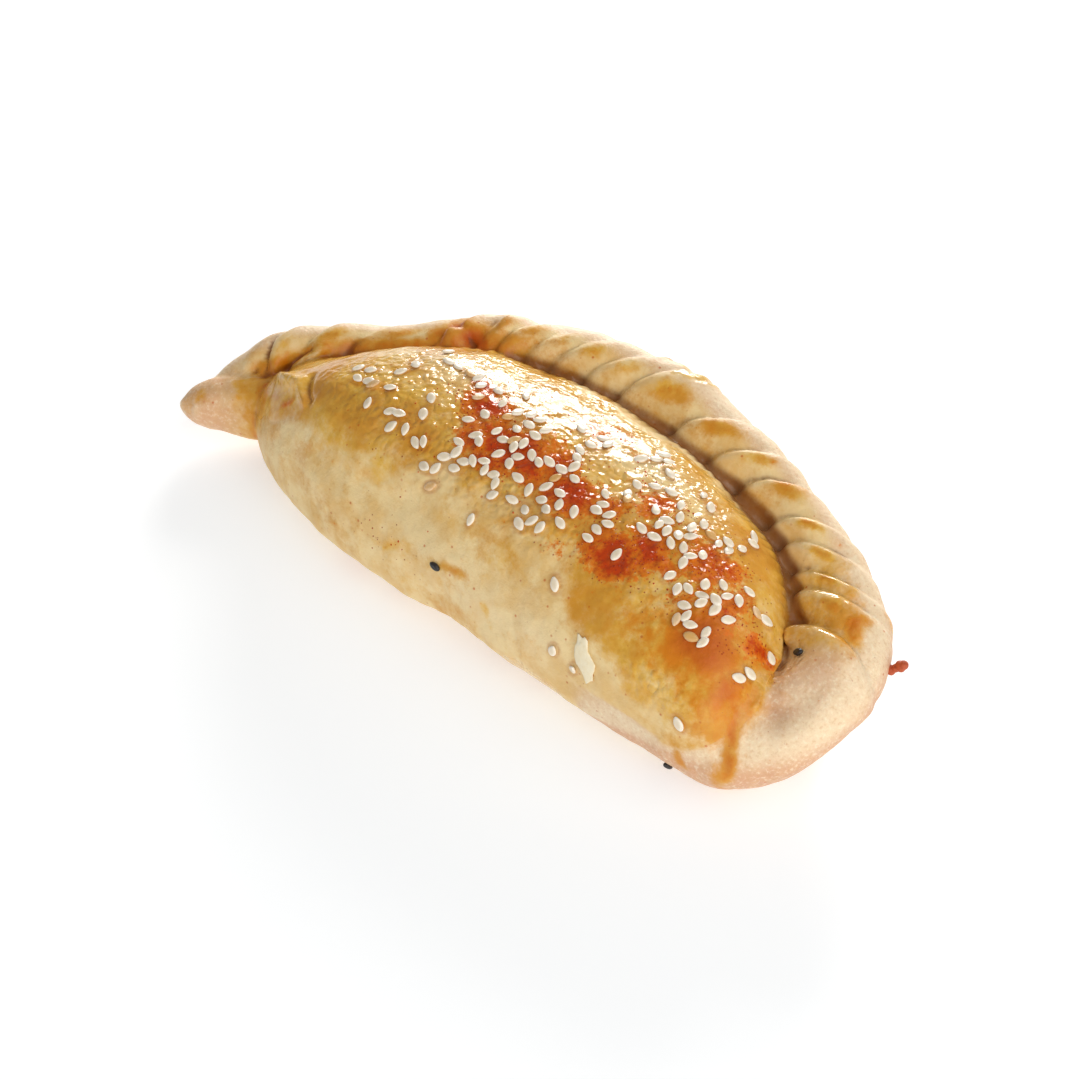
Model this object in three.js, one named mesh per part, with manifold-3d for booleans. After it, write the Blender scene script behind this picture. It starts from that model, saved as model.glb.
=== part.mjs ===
// A baked empanada lying on its base: a plump dome of dough, folded over at the front, whose edge
// is twisted into a rope crimp along the back and round the right end. Millimetres, +Z up.
import * as THREE from 'three';
import { mergeVertices } from 'three/addons/utils/BufferGeometryUtils.js';
import Module from 'manifold-3d';

const wasm = await Module();
wasm.setup();

// Driving dimensions of the dome
const crownHeight = 37.5;       // highest point of the dome above the table
const leftDrop = 12.5;          // how much lower the dome is near its left end
const leftDropPlace = 0.08;     // where it is lowest, as a share of its length
const leftDropSpread = 0.19;
const foldHeight = 11;          // how high the rounded front fold is widest
const rimHeight = 21;           // how high the dough meets the rope at the back
const endHeight = 9;            // height of the dome's two end points
const baseDepth = 2;            // how far the soft underside is pressed flat
const grooveWidth = 0.35;       // share of the height over which the dome pulls in from the rope
const rimBias = 1.2;            // above 1, the widest level stays low until close to the rope
const wallBluntness = 5;        // the higher, the more abruptly the walls end at the end points
const wallPower = 0.6;
const crownBluntness = 2.6;     // the same for the crown, which falls away sooner
const crownPower = 0.55;
const upperFullness = 0.95;     // below 1, a section is fuller than an ellipse
const lowerFullness = 0.7;
const baseBluntness = 10;       // the same as the walls', for the underside

// Three outlines of the dome seen from above, from its left end to its right end
const foldLine = [
  [-69.5, -22], [-64.5, -28.5], [-48.5, -33.5], [-24.5, -35.5], [1.5, -34], [26.5, -32],
  [49.5, -30], [66.5, -27], [73.5, -17.5],
];
const grooveLine = [
  [-69.5, -22], [-65.5, -12], [-53.5, 0.5], [-36.5, 13], [-12.5, 21], [17.5, 22], [43.5, 16.5],
  [59.5, 4.5], [73.5, -17.5],
];
const rimLine = [
  [-69.5, -22], [-67.5, -8], [-53.5, 6], [-36.5, 18], [-10.5, 26.5], [21.5, 28], [49.5, 22.5],
  [71.5, 8], [73.5, -17.5],
];

// The rope: the middle of its section from the left tip to the front right corner, and its radius
const ropeRoute = [
  [-81.5, -28, 10], [-76.5, -17, 13.3], [-65.5, -3.7, 18.3], [-51.5, 7, 21.3], [-31.5, 21.5, 24.7],
  [-4.5, 27.3, 25.3], [22.5, 26.8, 25.8], [45, 23.3, 24.8], [62.5, 14.3, 21.8], [73.5, 3.5, 17.5],
  [75, -8.5, 12.5], [68.5, -18, 9.5], [57, -23, 8],
];
const ropeRadii = [4, 5.5, 6.3, 6.8, 7.8, 8.3, 8.3, 8.2, 8.3, 9.6, 9.5, 7.8, 6];
const ropeTwist = 5.5;          // how far a crease runs along the rope as it crosses it, each way
const twistFade = 20;           // length over which the twist dies out at the rope's ends
const ropeFlatness = 0.95;      // height of the rope's section over its width
const leftRounding = 10;        // lengths over which the rope's two ends are rounded off
const rightRounding = 12;

// The pleats of the rope from its left tip: width along the rope, depth of the crease that starts
// it, and how much its crest stands above the rope's radius
const pleats = [
  [9, 0.6, 0], [6, 0.9, 0], [7.5, 0.9, 0], [29.5, 0.4, -0.4], [11.5, 1.9, 0.9], [4, 1, -0.3],
  [9.5, 1.2, 1], [8, 1.1, 0], [11, 1.7, 0], [10, 1.9, 0], [11, 1.9, 0], [12, 1.8, 0],
  [9, 1.6, 0], [10, 1.6, 0], [9, 1.5, 0], [4.5, 1.2, 0], [7, 1.7, 0], [6, 1.7, 0],
  [6.5, 1.7, 0],
];
const crestSkew = 0.62;         // below 1, a pleat's crest lies close behind the crease before it
const crestFullness = 0.8;
const pleatsFrom = -1;          // the pleats fade in up the rope's side, from its lowest line
const pleatsFullFrom = 0.1;     // (-1) to just above its widest one (0)
const fullReliefRadius = 6;     // on a thinner rope the relief is less

// The left horn, where the lower layer of dough runs out past the dome
const hornRoute = [
  [-83.8, -34.5, 10], [-81, -31, 9.5], [-76.5, -26, 9], [-69.5, -21, 9], [-60.5, -16, 9],
];
const hornRadii = [1.5, 4.8, 6.6, 7.6, 7.5];
const hornWidth = 0.9;          // width of the horn's section over its height
const hornRounding = 0.18;      // share of the horn's length over which each end is rounded

const crustColour = 0xd6a866;
const crustRoughness = 0.45;

// Fineness of the surfaces
const domeSteps = { round: 40, along: 48 };
const pleatSteps = 4;
const flapSteps = 11;
const ropeSteps = 14;
const hornSteps = { round: 14, along: 10 };
const roomSize = 300;           // a cube well clear of the pastry, used to trim its underside

function smoothStep(from, to, value) {
  return THREE.MathUtils.smoothstep(value, from, to);
}

// A smooth curve through a list of points; a point may have two or three numbers, or just one
function curveThrough(points) {
  const corners = points.map((point) => {
    const [x, y = 0, z = 0] = [point].flat();
    return new THREE.Vector3(x, y, z);
  });
  return new THREE.CatmullRomCurve3(corners, false, 'catmullrom', 0.5);
}

// 1 along the middle, falling to 0 at both ends as a quarter circle does
function roundedEnds(distance, length, startRounding, endRounding) {
  const start = THREE.MathUtils.clamp(distance / startRounding, 0, 1);
  const end = THREE.MathUtils.clamp((length - distance) / endRounding, 0, 1);
  return Math.sqrt(1 - (1 - start) ** 2) * Math.sqrt(1 - (1 - end) ** 2);
}

// A closed solid: a ball whose points are moved to place(along, angle), with along from 0 at one
// pole to 1 at the other and the angle round it in radians
function movedBall(steps, place) {
  const ball = new THREE.SphereGeometry(1, steps.round, steps.along);
  const { position, uv } = ball.attributes;
  for (let i = 0; i < position.count; i += 1) {
    const angle = -2 * Math.PI * uv.getX(i);
    const point = place(1 - uv.getY(i), angle);
    position.setXYZ(i, point.x, point.y, point.z);
  }
  return toSolid(ball);
}

function toSolid(geometry) {
  geometry.deleteAttribute('normal');
  geometry.deleteAttribute('uv');
  const merged = mergeVertices(geometry);
  return new wasm.Manifold(new wasm.Mesh({
    numProp: 3,
    vertProperties: Float32Array.from(merged.attributes.position.array),
    triVerts: Uint32Array.from(merged.index.array),
  }));
}

function toGeometry(solid) {
  const { vertProperties, triVerts } = solid.getMesh();
  const geometry = new THREE.BufferGeometry();
  geometry.setAttribute('position', new THREE.BufferAttribute(vertProperties, 3));
  geometry.setIndex(new THREE.BufferAttribute(triVerts, 1));
  return geometry;
}

// The dome: each cross-section is a rounded shape between the fold line and the rim line
function makeDome() {
  const fold = curveThrough(foldLine);
  const groove = curveThrough(grooveLine);
  const rim = curveThrough(rimLine);
  return movedBall(domeSteps, (along, angle) => {
    const length = 0.5 - 0.5 * Math.cos(Math.PI * along);
    const fromMiddle = Math.abs(2 * length - 1);
    const rise = Math.sin(angle);
    const across = 0.5 + 0.5 * Math.cos(angle);
    const back = rim.getPoint(length).lerp(groove.getPoint(length), smoothStep(0, grooveWidth, rise));
    const point = fold.getPoint(length).lerp(back, across);
    const wall = (1 - fromMiddle ** wallBluntness) ** wallPower;
    const crown = (1 - fromMiddle ** crownBluntness) ** crownPower;
    const base = Math.sqrt(1 - fromMiddle ** baseBluntness);
    const drop = leftDrop * Math.exp(-(((length - leftDropPlace) / leftDropSpread) ** 2));
    const widest = foldHeight + (rimHeight - foldHeight) * across ** rimBias;
    const edge = endHeight + (widest - endHeight) * wall;
    const top = endHeight + (crownHeight - drop - endHeight) * crown;
    const upper = (top - edge) * Math.max(rise, 0) ** upperFullness;
    const lower = (edge + baseDepth) * base * Math.max(-rise, 0) ** lowerFullness;
    point.z = edge + upper - lower;
    return point;
  });
}

// Where each step along the rope falls: on the pleats' creases, then evenly along the end flap
function ropeRows(ropeLength) {
  const rows = [];
  let start = 0;
  for (const [width, depth, crest] of pleats) {
    for (let i = 0; i < pleatSteps; i += 1) {
      const share = i / pleatSteps;
      const swell = Math.sin(Math.PI * share ** crestSkew) ** crestFullness;
      rows.push({ distance: start + width * share, relief: crest * swell - depth * (1 - swell) });
    }
    start += width;
  }
  for (let i = 0; i <= flapSteps; i += 1) {
    rows.push({ distance: start + (ropeLength - start) * (i / flapSteps), relief: 0 });
  }
  return rows;
}

// The rope: creases run slantwise over it, and the last stretch is a smooth flap round the corner
function makeRope() {
  const route = curveThrough(ropeRoute);
  const radii = curveThrough(ropeRadii);
  const ropeLength = route.getLength();
  const rows = ropeRows(ropeLength);
  return movedBall({ round: ropeSteps, along: rows.length - 1 }, (along, angle) => {
    const row = rows[Math.round(along * (rows.length - 1))];
    const fade = smoothStep(0, twistFade, row.distance)
      * smoothStep(0, twistFade, ropeLength - row.distance);
    const distance = row.distance + ropeTwist * Math.cos(angle) * fade;
    const share = route.getUtoTmapping(distance / ropeLength);
    const outward = route.getTangent(share).cross(new THREE.Vector3(0, 0, -1)).normalize();
    const upward = route.getTangent(share).cross(outward).normalize();
    const ends = roundedEnds(distance, ropeLength, leftRounding, rightRounding);
    const radius = radii.getPoint(share).x * ends;
    const topSide = smoothStep(pleatsFrom, pleatsFullFrom, Math.sin(angle));
    const reach = radius + row.relief * topSide * Math.min(1, radius / fullReliefRadius);
    return route.getPoint(share)
      .addScaledVector(outward, reach * Math.cos(angle))
      .addScaledVector(upward, reach * Math.sin(angle) * ropeFlatness);
  });
}

function makeHorn() {
  const route = curveThrough(hornRoute);
  const radii = curveThrough(hornRadii);
  return movedBall(hornSteps, (along, angle) => {
    const share = 0.5 - 0.5 * Math.cos(Math.PI * along);
    const outward = route.getTangent(share).cross(new THREE.Vector3(0, 0, -1)).normalize();
    const upward = route.getTangent(share).cross(outward).normalize();
    const radius = radii.getPoint(share).x * roundedEnds(share, 1, hornRounding, hornRounding);
    return route.getPoint(share)
      .addScaledVector(outward, radius * Math.cos(angle) * hornWidth)
      .addScaledVector(upward, radius * Math.sin(angle));
  });
}

// A block that stands on the table and is larger than the pastry: what is inside it is kept
function makeRoomAboveTable() {
  const block = new THREE.BoxGeometry(roomSize, roomSize, roomSize);
  block.translate(0, 0, roomSize / 2);
  return toSolid(block);
}

function makePastry() {
  const whole = makeDome().add(makeRope()).add(makeHorn()).intersect(makeRoomAboveTable());
  const geometry = toGeometry(whole);
  geometry.computeBoundingBox();
  const middle = geometry.boundingBox.getCenter(new THREE.Vector3());
  const crust = new THREE.MeshStandardMaterial({
    color: crustColour, roughness: crustRoughness, metalness: 0,
  });
  const pastry = new THREE.Mesh(geometry, crust);
  pastry.name = 'pastry';
  pastry.position.set(-middle.x, -middle.y, 0);
  return pastry;
}

const empanada = new THREE.Group();
empanada.add(makePastry());

export default empanada;
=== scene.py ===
import math
import random

import bmesh
import bpy
import numpy as np
from mathutils import Matrix, Vector, noise
from mathutils.bvhtree import BVHTree
from mathutils.kdtree import KDTree


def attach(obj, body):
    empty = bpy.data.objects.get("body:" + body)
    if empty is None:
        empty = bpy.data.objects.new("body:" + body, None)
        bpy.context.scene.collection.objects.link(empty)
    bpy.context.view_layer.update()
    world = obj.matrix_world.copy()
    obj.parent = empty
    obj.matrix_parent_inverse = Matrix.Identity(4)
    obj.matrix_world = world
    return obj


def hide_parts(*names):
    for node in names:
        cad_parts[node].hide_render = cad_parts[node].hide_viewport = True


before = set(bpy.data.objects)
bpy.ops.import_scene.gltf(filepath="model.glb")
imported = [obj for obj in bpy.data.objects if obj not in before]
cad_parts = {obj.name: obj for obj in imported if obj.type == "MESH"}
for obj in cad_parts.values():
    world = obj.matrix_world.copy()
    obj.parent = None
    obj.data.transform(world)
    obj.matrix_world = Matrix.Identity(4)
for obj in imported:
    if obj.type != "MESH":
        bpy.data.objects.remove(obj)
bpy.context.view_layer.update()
mm = 0.001
print("frame loaded")

camera = {
    "target": (13.25, -17.2, 20),  # mm, a point inside the right half of the dome
    "lift": 3.14,  # mm the aim is raised, as the camera sees it
    "azimuth": 48,
    "elevation": 42,
    "distance": 520,
    "lens": 88.3,
}


def standAt(piece, place, facing):
    piece.location = place
    piece.rotation_mode = "QUATERNION"
    piece.rotation_quaternion = facing
    bpy.context.scene.collection.objects.link(piece)


def makeCamera(look):
    turn = math.radians(look["azimuth"])
    tilt = math.radians(look["elevation"])
    back = Vector((math.sin(turn) * math.cos(tilt), -math.cos(turn) * math.cos(tilt), math.sin(tilt)))
    facing = (-back).to_track_quat("-Z", "Y")
    data = bpy.data.cameras.new("camera")
    data.lens = look["lens"]
    data.sensor_width = 36
    data.clip_start = 0.01
    data.clip_end = 20
    piece = bpy.data.objects.new("camera", data)
    aim = Vector(look["target"]) + facing @ Vector((0, look["lift"], 0))
    standAt(piece, (aim + back * look["distance"]) * mm, facing)
    bpy.context.scene.camera = piece


# soft boxes: where each stands, its distance and size in metres, its power and its tint
softBoxes = {
    "window": {"toward": (-0.6, 0.76, 0.30), "away": 1.1, "size": (0.42, 0.36), "watts": 11.5,
               "tint": (1.0, 0.99, 0.97)},
    "frontFill": {"toward": (0.8, -0.56, 0.42), "away": 1.1, "size": (1.3, 1.0), "watts": 6.2,
                  "tint": (1.0, 0.97, 0.92)},
    "sideFill": {"toward": (0.68, 0.15, 0.78), "away": 1.2, "size": (1.4, 1.4), "watts": 7.5,
                 "tint": (1.0, 0.98, 0.95)},
}


sky = {"tint": (1.0, 0.99, 0.97, 1), "strength": 0.24}


def makeLights(boxes):
    for name, box in boxes.items():
        data = bpy.data.lights.new(name, "AREA")
        data.shape = "RECTANGLE"
        data.size, data.size_y = box["size"]
        data.energy = box["watts"]
        data.color = box["tint"]
        piece = bpy.data.objects.new(name, data)
        toward = Vector(box["toward"]).normalized()
        standAt(piece, toward * box["away"], (-toward).to_track_quat("-Z", "Y"))
    world = bpy.data.worlds.new("sky")
    world.use_nodes = True
    background = world.node_tree.nodes["Background"]
    background.inputs["Color"].default_value = sky["tint"]
    background.inputs["Strength"].default_value = sky["strength"]
    bpy.context.scene.world = world
    bpy.context.scene.view_settings.view_transform = "Standard"


def tint(red, green, blue):
    # from 0 to 255 as screens show it, to the linear colour that shaders use
    parts = [part / 255 for part in (red, green, blue)]
    return tuple(p / 12.92 if p < 0.04045 else ((p + 0.055) / 1.055) ** 2.4 for p in parts) + (1,)


class Signal:
    # a socket that can stand in sums: each operator adds its Math node
    def __init__(self, paint, socket):
        self.paint = paint
        self.socket = socket

    def math(self, operation, *values):
        return self.paint.math(operation, *values)

    def __add__(self, other):
        return self.math("ADD", self, other)

    __radd__ = __add__

    def __sub__(self, other):
        return self.math("SUBTRACT", self, other)

    def __rsub__(self, other):
        return self.math("SUBTRACT", other, self)

    def __mul__(self, other):
        return self.math("MULTIPLY", self, other)

    __rmul__ = __mul__

    def between(self, low, high):
        # 0 below low, 1 above high, and a smooth rise from one to the other
        settings = {"interpolation_type": "SMOOTHSTEP", "clamp": True}
        return self.paint.node("ShaderNodeMapRange", settings, {0: self, 1: low, 2: high, 3: 0, 4: 1})


class Paint:
    # one material and the nodes in it
    def __init__(self, name):
        self.material = bpy.data.materials.new(name)
        self.material.use_nodes = True
        self.tree = self.material.node_tree
        self.tree.nodes.clear()
        self.place = self.node("ShaderNodeTexCoord", output="Object")

    def node(self, kind, settings=None, values=None, output=0):
        made = self.tree.nodes.new(kind)
        for name, value in (settings or {}).items():
            setattr(made, name, value)
        for socket, value in (values or {}).items():
            if isinstance(value, Signal):
                self.tree.links.new(value.socket, made.inputs[socket])
            else:
                made.inputs[socket].default_value = value
        return Signal(self, made.outputs[output])

    def math(self, operation, *values):
        return self.node("ShaderNodeMath", {"operation": operation}, dict(enumerate(values)))

    def attribute(self, name):
        return self.node("ShaderNodeAttribute", {"attribute_name": name}, output="Fac")

    def cloud(self, size, detail=3, roughness=0.55, shift=0, squeeze=(1, 1, 1)):
        # soft noise from 0 to 1, lumps about size mm across; squeeze below 1 draws them out
        values = {"Vector": self.place, "Location": (shift,) * 3, "Scale": squeeze}
        place = self.node("ShaderNodeMapping", None, values)
        values = {"Vector": place, "Scale": 1 / (size * mm), "Detail": detail, "Roughness": roughness}
        return self.node("ShaderNodeTexNoise", None, values)

    def grains(self, size, shift=0):
        # distance to the nearest of points strewn about size mm apart, and a random number for its cell
        place = self.node("ShaderNodeMapping", None, {"Vector": self.place, "Location": (shift,) * 3})
        near = self.node("ShaderNodeTexVoronoi", None, {"Vector": place, "Scale": 1 / (size * mm)})
        cell = near.socket.node.outputs["Color"]
        return near, self.node("ShaderNodeSeparateColor", None, {0: Signal(self, cell)})

    def mix(self, amount, first, second, blend="MIX"):
        settings = {"data_type": "RGBA", "blend_type": blend, "clamp_factor": True}
        return self.node("ShaderNodeMix", settings, {0: amount, 6: first, 7: second}, output=2)

    def bump(self, height, distance, strength):
        # distance is how deep the relief is, in mm, from a height of 0 to one of 1
        values = {"Height": height, "Distance": distance * mm, "Strength": strength}
        return self.node("ShaderNodeBump", None, values)

    def finish(self, values):
        shader = self.node("ShaderNodeBsdfPrincipled", None, values)
        output = self.tree.nodes.new("ShaderNodeOutputMaterial")
        self.tree.links.new(shader.socket, output.inputs["Surface"])
        return self.material


# the shape of the dough, in millimetres: a dome, the rope crimped along it and the horn at its left end
dome = {
    "crownHeight": 37.5,
    "leftDrop": 12.5,  # how much lower the dome is near its left end
    "leftDropPlace": 0.08,  # where, as a share of its length
    "leftDropSpread": 0.19,
    "foldHeight": 11,  # height at which the rounded front fold is widest
    "rimHeight": 21,  # height at which the dough meets the rope
    "endHeight": 9,
    "baseDepth": 2,  # how far the soft underside is pressed flat
    "grooveWidth": 0.35,  # how much of the rise the groove beside the rope takes
    "wall": (5, 0.6),  # how full the wall stays towards its ends: two powers
    "crown": (2.6, 0.55),  # the same for the crown
    "baseEnds": 10,
    "shoulder": 1.2,  # above 1, the widest place stays low before it climbs to the rim
    "topRound": 0.95,
    "underRound": 0.7,
    "foldLine": [(-69.5, -22), (-64.5, -28.5), (-48.5, -33.5), (-24.5, -35.5), (1.5, -34), (26.5, -32),
                 (49.5, -30), (66.5, -27), (73.5, -17.5)],
    "grooveLine": [(-69.5, -22), (-65.5, -12), (-53.5, 0.5), (-36.5, 13), (-12.5, 21), (17.5, 22),
                   (43.5, 16.5), (59.5, 4.5), (73.5, -17.5)],
    "rimLine": [(-69.5, -22), (-67.5, -8), (-53.5, 6), (-36.5, 18), (-10.5, 26.5), (21.5, 28),
                (49.5, 22.5), (71.5, 8), (73.5, -17.5)],
    "steps": (260, 300),  # round a section, and along the dome
}

rope = {
    "route": [(-81.5, -28, 10), (-76.5, -17, 13.3), (-65.5, -3.7, 18.3), (-51.5, 7, 21.3),
              (-31.5, 21.5, 24.7), (-4.5, 27.3, 25.3), (22.5, 26.8, 25.8), (45, 23.3, 24.8),
              (62.5, 14.3, 21.8), (73.5, 3.5, 17.5), (75, -8.5, 12.5), (68.5, -18, 9.5), (57, -23, 8)],
    "radii": [4, 5.5, 6.3, 6.8, 7.8, 8.3, 8.3, 8.2, 8.3, 9.6, 9.5, 7.8, 6],
    "flatness": 0.95,
    "leftRounding": 10,
    "rightRounding": 12,
    "twist": 6.2,  # how far a crease runs along the rope as it crosses it, each way
    "twistFade": 20,
    # from the left tip: each pleat's width, its crease's depth, its crest's height
    "pleats": [
        (9, 0.6, 0), (7.5, 0.9, 0), (10.5, 1.9, 0.3), (11.5, 1.9, 0.6), (19, 0.9, -0.1), (8.5, 1.4, 0.9),
        (6.5, 1.6, -0.3), (7.5, 1.4, 1.0), (7, 1.1, 0.2), (9, 1.5, 0.1), (9.5, 2.2, 0.1), (16.7, 2.2, 0.3),
        (11.6, 2.5, 0.2), (9.7, 2.4, 0.2), (12, 2.4, 0.2), (7, 2.2, 0.1), (7.5, 2.3, 0.2), (4.6, 2.4, 0.4),
        (8.9, 2.2, 0.5),
    ],
    "flapCrease": 2.4,  # depth of the last crease, where the smooth end flap starts
    "flapSwell": 0.9,  # height of the flap's first swelling, past that crease
    "flapSwellPlace": 2.5,
    "flapSwellSpread": 3,
    "lip": 0.75,  # how quickly a crest rises behind its crease
    "slump": 1.9,  # above 1, a pleat stays full before it sinks under the next
    "outerFade": 0.7,  # how much of the relief is lost on the outer side
    "steps": (120, 620),
}

horn = {
    "route": [(-83.8, -34.5, 10), (-81, -31, 9.5), (-76.5, -26, 9), (-69.5, -21, 9), (-60.5, -16, 9)],
    "radii": [1.5, 4.8, 6.6, 7.6, 7.5],
    "width": 0.9,
    "rounding": 0.18,
    "steps": (90, 90),
}


def smooth(low, high, value):
    share = np.clip((value - low) / (high - low), 0, 1)
    return share * share * (3 - 2 * share)


def alongCurve(points, share):
    # a smooth curve through the points; share runs from 0 to 1, evenly by point
    corners = np.array(points, float).reshape(len(points), -1)
    corners = np.vstack([2 * corners[0] - corners[1], corners, 2 * corners[-1] - corners[-2]])
    place = np.clip(share, 0, 1) * (len(points) - 1)
    first = np.minimum(place.astype(int), len(points) - 2)
    part = (place - first)[..., None]
    a, b, c, d = (corners[first + step] for step in range(4))
    return 0.5 * (2 * b + (c - a) * part + (2 * a - 5 * b + 4 * c - d) * part ** 2
                  + (3 * b - a - 3 * c + d) * part ** 3)


def unit(vectors):
    return vectors / np.maximum(np.linalg.norm(vectors, axis=-1, keepdims=True), 1e-9)


def routeFrame(points, share):
    # the point of a route, its outward side (level) and its upward side
    step = 0.002
    here = alongCurve(points, share)
    ahead = alongCurve(points, np.minimum(share + step, 1)) - alongCurve(points, np.maximum(share - step, 0))
    outward = unit(np.stack([-ahead[..., 1], ahead[..., 0], 0 * ahead[..., 0]], -1))
    upward = unit(np.cross(outward, ahead))
    upward = upward * np.sign(upward[..., 2:3])
    return here, outward, upward


def roundedEnds(distance, length, start, end):
    first = np.clip(distance / start, 0, 1)
    last = np.clip((length - distance) / end, 0, 1)
    return np.sqrt(1 - (1 - first) ** 2) * np.sqrt(1 - (1 - last) ** 2)


def movedBall(steps, place):
    # a ball whose points go to place(along, angle): along from pole to pole, angle round it
    ball = bmesh.new()
    bmesh.ops.create_uvsphere(ball, u_segments=steps[0], v_segments=steps[1], radius=1)
    corners = np.array([corner.co for corner in ball.verts])
    along = np.arccos(np.clip(corners[:, 2], -1, 1)) / math.pi
    angle = np.arctan2(corners[:, 1], corners[:, 0])
    for corner, spot in zip(ball.verts, place(along, angle) * mm):
        corner.co = spot
    return ball


def domePlace(along, angle):
    length = 0.5 - 0.5 * np.cos(math.pi * along)
    fromMiddle = np.abs(2 * length - 1)
    rise = np.sin(angle)
    across = 0.5 + 0.5 * np.cos(angle)
    rim = alongCurve(dome["rimLine"], length)
    groove = alongCurve(dome["grooveLine"], length)
    fold = alongCurve(dome["foldLine"], length)
    back = rim + (groove - rim) * smooth(0, dome["grooveWidth"], rise)[:, None]
    level = fold + (back - fold) * across[:, None]
    wall = (1 - fromMiddle ** dome["wall"][0]) ** dome["wall"][1]
    crown = (1 - fromMiddle ** dome["crown"][0]) ** dome["crown"][1]
    base = np.sqrt(1 - fromMiddle ** dome["baseEnds"])
    drop = dome["leftDrop"] * np.exp(-((length - dome["leftDropPlace"]) / dome["leftDropSpread"]) ** 2)
    widest = dome["foldHeight"] + (dome["rimHeight"] - dome["foldHeight"]) * across ** dome["shoulder"]
    edge = dome["endHeight"] + (widest - dome["endHeight"]) * wall
    top = dome["endHeight"] + (dome["crownHeight"] - drop - dome["endHeight"]) * crown
    upper = (top - edge) * np.maximum(rise, 0) ** dome["topRound"]
    lower = (edge + dome["baseDepth"]) * base * np.maximum(-rise, 0) ** dome["underRound"]
    height = np.maximum(edge + upper - lower, 0)
    return np.column_stack([level, height])


def ropeRuler():
    # shares of the route against the distance along it
    shares = np.linspace(0, 1, 1500)
    points = alongCurve(rope["route"], shares)
    steps = np.linalg.norm(np.diff(points, axis=0), axis=1)
    return shares, np.concatenate([[0], np.cumsum(steps)])


ropeShares, ropeDistances = ropeRuler()
ropeLength = ropeDistances[-1]
pleatWidths, pleatDepths, pleatCrests = (np.array(column) for column in zip(*rope["pleats"]))
pleatStarts = np.concatenate([[0], np.cumsum(pleatWidths)])


def pleatRelief(distance):
    # height of the pleats over the plain rope, with a steep lip behind each crease
    number = np.clip(np.searchsorted(pleatStarts, distance, side="right") - 1, 0, len(pleatWidths) - 1)
    past = distance - pleatStarts[number]
    share = np.clip(past / pleatWidths[number], 0, 1)
    depths = np.append(pleatDepths, rope["flapCrease"])
    depth = depths[number] + (depths[number + 1] - depths[number]) * share
    swell = (1 - np.exp(-past / rope["lip"])) * (1 - share ** rope["slump"])
    relief = pleatCrests[number] * swell - depth * (1 - swell)
    beyond = np.maximum(distance - pleatStarts[-1], 0)
    swelling = np.exp(-(beyond - rope["flapSwellPlace"]) ** 2 / rope["flapSwellSpread"] ** 2)
    flap = rope["flapSwell"] * swelling - rope["flapCrease"] * np.exp(-beyond / rope["lip"])
    return np.where(distance < pleatStarts[-1], relief, flap)


def roundTheRoute(here, outward, upward, angle, reach, widthShare, heightShare):
    # the place at that angle round a route's section, reach mm away from its middle
    sideways = outward * np.cos(angle)[:, None] * reach * widthShare
    return here + sideways + upward * np.sin(angle)[:, None] * reach * heightShare


def ropePlace(along, angle):
    straight = along * ropeLength
    twistEnds = smooth(0, rope["twistFade"], straight) * smooth(0, rope["twistFade"], ropeLength - straight)
    distance = straight + rope["twist"] * np.cos(angle) * twistEnds
    share = np.interp(distance, ropeDistances, ropeShares)
    here, outward, upward = routeFrame(rope["route"], share)
    radius = alongCurve(rope["radii"], share)[:, 0]
    radius = radius * roundedEnds(distance, ropeLength, rope["leftRounding"], rope["rightRounding"])
    topSide = smooth(-1, 0.1, np.sin(angle)) * np.minimum(1, radius / 6)
    topSide = topSide * (1 - rope["outerFade"] * smooth(0.25, 0.95, np.cos(angle)))
    reach = (radius + pleatRelief(straight) * topSide)[:, None]
    return roundTheRoute(here, outward, upward, angle, reach, 1, rope["flatness"])


def hornPlace(along, angle):
    share = 0.5 - 0.5 * np.cos(math.pi * along)
    here, outward, upward = routeFrame(horn["route"], share)
    radius = alongCurve(horn["radii"], share)[:, 0]
    radius = (radius * roundedEnds(share, 1, horn["rounding"], horn["rounding"]))[:, None]
    return roundTheRoute(here, outward, upward, angle, radius, horn["width"], 1)


# the three shells become one skin
skin = {
    "voxel": 0.62,  # mm, the size of the faces of the finished skin
    "settle": 3,  # rounds of light smoothing
}


def meshFrom(name, shape):
    data = bpy.data.meshes.new(name)
    shape.to_mesh(data)
    shape.free()
    return data


def newPiece(name, shape):
    # a piece whose mesh is already in place, from a bmesh
    bmesh.ops.recalc_face_normals(shape, faces=shape.faces)
    data = meshFrom(name, shape)
    piece = bpy.data.objects.new(name, data)
    bpy.context.scene.collection.objects.link(piece)
    data.shade_smooth()
    return piece


def joinShells():
    whole = bmesh.new()
    for steps, place in ((dome["steps"], domePlace), (rope["steps"], ropePlace), (horn["steps"], hornPlace)):
        shell = movedBall(steps, place)
        bmesh.ops.recalc_face_normals(shell, faces=shell.faces)
        data = meshFrom("shell", shell)
        whole.from_mesh(data)
        bpy.data.meshes.remove(data)
    return newPiece("pastryCrust", whole)


def remeshSkin(piece):
    remesh = piece.modifiers.new("skin", "REMESH")
    remesh.mode = "VOXEL"
    remesh.voxel_size = skin["voxel"] * mm
    remesh.use_smooth_shade = True
    view = bpy.context.evaluated_depsgraph_get()
    data = bpy.data.meshes.new_from_object(piece.evaluated_get(view))
    piece.modifiers.clear()
    old = piece.data
    piece.data = data
    bpy.data.meshes.remove(old)
    data.name = piece.name


def pointArray(data, name):
    # one vector of every point of a mesh, such as its place, in rows
    rows = np.empty(len(data.vertices) * 3)
    data.vertices.foreach_get(name, rows)
    return rows.reshape(-1, 3)


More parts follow.
